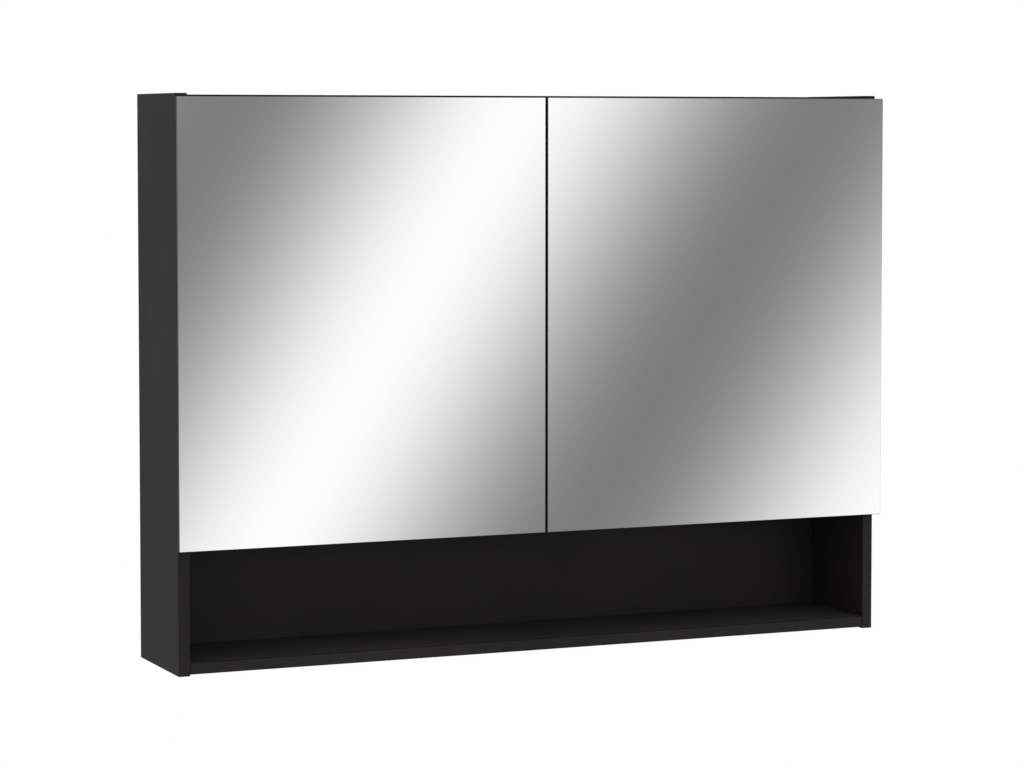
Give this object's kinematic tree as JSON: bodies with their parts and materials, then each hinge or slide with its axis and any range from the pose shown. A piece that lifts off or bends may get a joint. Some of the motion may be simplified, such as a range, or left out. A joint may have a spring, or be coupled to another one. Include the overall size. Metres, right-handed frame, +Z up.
{
  "type": "medicine cabinet with mirror",
  "caption": "Wall-hung black bathroom cabinet: mirrored doors on concealed hinges over adjustable shelves, with an open niche along the bottom.",
  "frame": {"origin": "middle of the top panel's rear edge, in the plane of the wall", "axes": "+X to the right seen from the front, +Y into the wall, +Z up; the doors face -Y"},
  "size_m": [1.007, 0.1815, 0.735],
  "materials": {
    "black_board": "satin black melamine-faced board",
    "mirror_glass": "silvered 3 mm glass with polished edges",
    "nickel_steel": "bright nickel-plated pressed steel",
    "clear_rubber": "soft translucent dot",
    "white_plastic": "moulded, fine matt"
  },
  "bodies": {
    "carcass": {"side_panel_left": "black_board", "side_panel_right": "black_board", "top_panel": "black_board", "bottom_panel": "black_board", "back_panel": "black_board", "niche_shelf": "black_board", "centre_divider": "black_board", "shelf_lower_left": "black_board", "shelf_pin_lower_front_outer_left": "nickel_steel", "shelf_pin_lower_front_inner_left": "nickel_steel", "shelf_pin_lower_rear_outer_left": "nickel_steel", "shelf_pin_lower_rear_inner_left": "nickel_steel", "shelf_lower_right": "black_board", "shelf_pin_lower_front_outer_right": "nickel_steel", "shelf_pin_lower_front_inner_right": "nickel_steel", "shelf_pin_lower_rear_outer_right": "nickel_steel", "shelf_pin_lower_rear_inner_right": "nickel_steel", "shelf_upper_left": "black_board", "shelf_pin_upper_front_outer_left": "nickel_steel", "shelf_pin_upper_front_inner_left": "nickel_steel", "shelf_pin_upper_rear_outer_left": "nickel_steel", "shelf_pin_upper_rear_inner_left": "nickel_steel", "shelf_upper_right": "black_board", "shelf_pin_upper_front_outer_right": "nickel_steel", "shelf_pin_upper_front_inner_right": "nickel_steel", "shelf_pin_upper_rear_outer_right": "nickel_steel", "shelf_pin_upper_rear_inner_right": "nickel_steel", "hinge_plate_lower_left": "nickel_steel", "hinge_arm_lower_left": "nickel_steel", "hinge_plate_upper_left": "nickel_steel", "hinge_arm_upper_left": "nickel_steel", "hanger_box_left": "white_plastic", "hanger_hook_left": "nickel_steel", "hinge_plate_lower_right": "nickel_steel", "hinge_arm_lower_right": "nickel_steel", "hinge_plate_upper_right": "nickel_steel", "hinge_arm_upper_right": "nickel_steel", "hanger_box_right": "white_plastic", "hanger_hook_right": "nickel_steel"},
    "door_left": {"door_board_left": "black_board", "mirror_left": "mirror_glass", "door_bumper_lower_left": "clear_rubber", "hinge_cup_lower_left": "nickel_steel", "door_bumper_upper_left": "clear_rubber", "hinge_cup_upper_left": "nickel_steel"},
    "hinge_link_lower_left": {"hinge_link_lower_left": "nickel_steel"},
    "hinge_cup_link_lower_left": {"hinge_cup_link_lower_left": "nickel_steel"},
    "hinge_link_upper_left": {"hinge_link_upper_left": "nickel_steel"},
    "hinge_cup_link_upper_left": {"hinge_cup_link_upper_left": "nickel_steel"},
    "door_right": {"door_board_right": "black_board", "mirror_right": "mirror_glass", "door_bumper_lower_right": "clear_rubber", "hinge_cup_lower_right": "nickel_steel", "door_bumper_upper_right": "clear_rubber", "hinge_cup_upper_right": "nickel_steel"},
    "hinge_link_lower_right": {"hinge_link_lower_right": "nickel_steel"},
    "hinge_cup_link_lower_right": {"hinge_cup_link_lower_right": "nickel_steel"},
    "hinge_link_upper_right": {"hinge_link_upper_right": "nickel_steel"},
    "hinge_cup_link_upper_right": {"hinge_cup_link_upper_right": "nickel_steel"}
  },
  "joints": [
    {"name": "door_left_swing", "type": "hinge", "parent": "carcass", "child": "door_left", "pos_m": [-0.5, -0.1725, -0.28], "axis": [0, 0, -1], "range_deg": [0, 100]},
    {"name": "hinge_link_lower_left_turn", "type": "hinge", "parent": "carcass", "child": "hinge_link_lower_left", "pos_m": [-0.476, -0.1655, -0.4655], "axis": [0, 0, 1], "range_deg": [0, 20]},
    {"name": "hinge_cup_link_lower_left_turn", "type": "hinge", "parent": "door_left", "child": "hinge_cup_link_lower_left", "pos_m": [-0.493, -0.1705, -0.4655], "axis": [0, 0, 1], "range_deg": [0, 115]},
    {"name": "hinge_link_upper_left_turn", "type": "hinge", "parent": "carcass", "child": "hinge_link_upper_left", "pos_m": [-0.476, -0.1655, -0.0945], "axis": [0, 0, 1], "range_deg": [0, 20]},
    {"name": "hinge_cup_link_upper_left_turn", "type": "hinge", "parent": "door_left", "child": "hinge_cup_link_upper_left", "pos_m": [-0.493, -0.1705, -0.0945], "axis": [0, 0, 1], "range_deg": [0, 115]},
    {"name": "door_right_swing", "type": "hinge", "parent": "carcass", "child": "door_right", "pos_m": [0.5, -0.1725, -0.28], "axis": [0, 0, 1], "range_deg": [0, 100]},
    {"name": "hinge_link_lower_right_turn", "type": "hinge", "parent": "carcass", "child": "hinge_link_lower_right", "pos_m": [0.476, -0.1655, -0.4655], "axis": [0, 0, -1], "range_deg": [0, 20]},
    {"name": "hinge_cup_link_lower_right_turn", "type": "hinge", "parent": "door_right", "child": "hinge_cup_link_lower_right", "pos_m": [0.493, -0.1705, -0.4655], "axis": [0, 0, -1], "range_deg": [0, 115]},
    {"name": "hinge_link_upper_right_turn", "type": "hinge", "parent": "carcass", "child": "hinge_link_upper_right", "pos_m": [0.476, -0.1655, -0.0945], "axis": [0, 0, -1], "range_deg": [0, 20]},
    {"name": "hinge_cup_link_upper_right_turn", "type": "hinge", "parent": "door_right", "child": "hinge_cup_link_upper_right", "pos_m": [0.493, -0.1705, -0.0945], "axis": [0, 0, -1], "range_deg": [0, 115]}
  ],
  "couplings": [
    {"joint": "hinge_link_lower_left_turn", "follows": "door_left_swing", "ratio": 0.2},
    {"joint": "hinge_cup_link_lower_left_turn", "follows": "door_left_swing", "ratio": 1.15},
    {"joint": "hinge_link_upper_left_turn", "follows": "door_left_swing", "ratio": 0.2},
    {"joint": "hinge_cup_link_upper_left_turn", "follows": "door_left_swing", "ratio": 1.15},
    {"joint": "hinge_link_lower_right_turn", "follows": "door_right_swing", "ratio": 0.2},
    {"joint": "hinge_cup_link_lower_right_turn", "follows": "door_right_swing", "ratio": 1.15},
    {"joint": "hinge_link_upper_right_turn", "follows": "door_right_swing", "ratio": 0.2},
    {"joint": "hinge_cup_link_upper_right_turn", "follows": "door_right_swing", "ratio": 1.15}
  ]
}
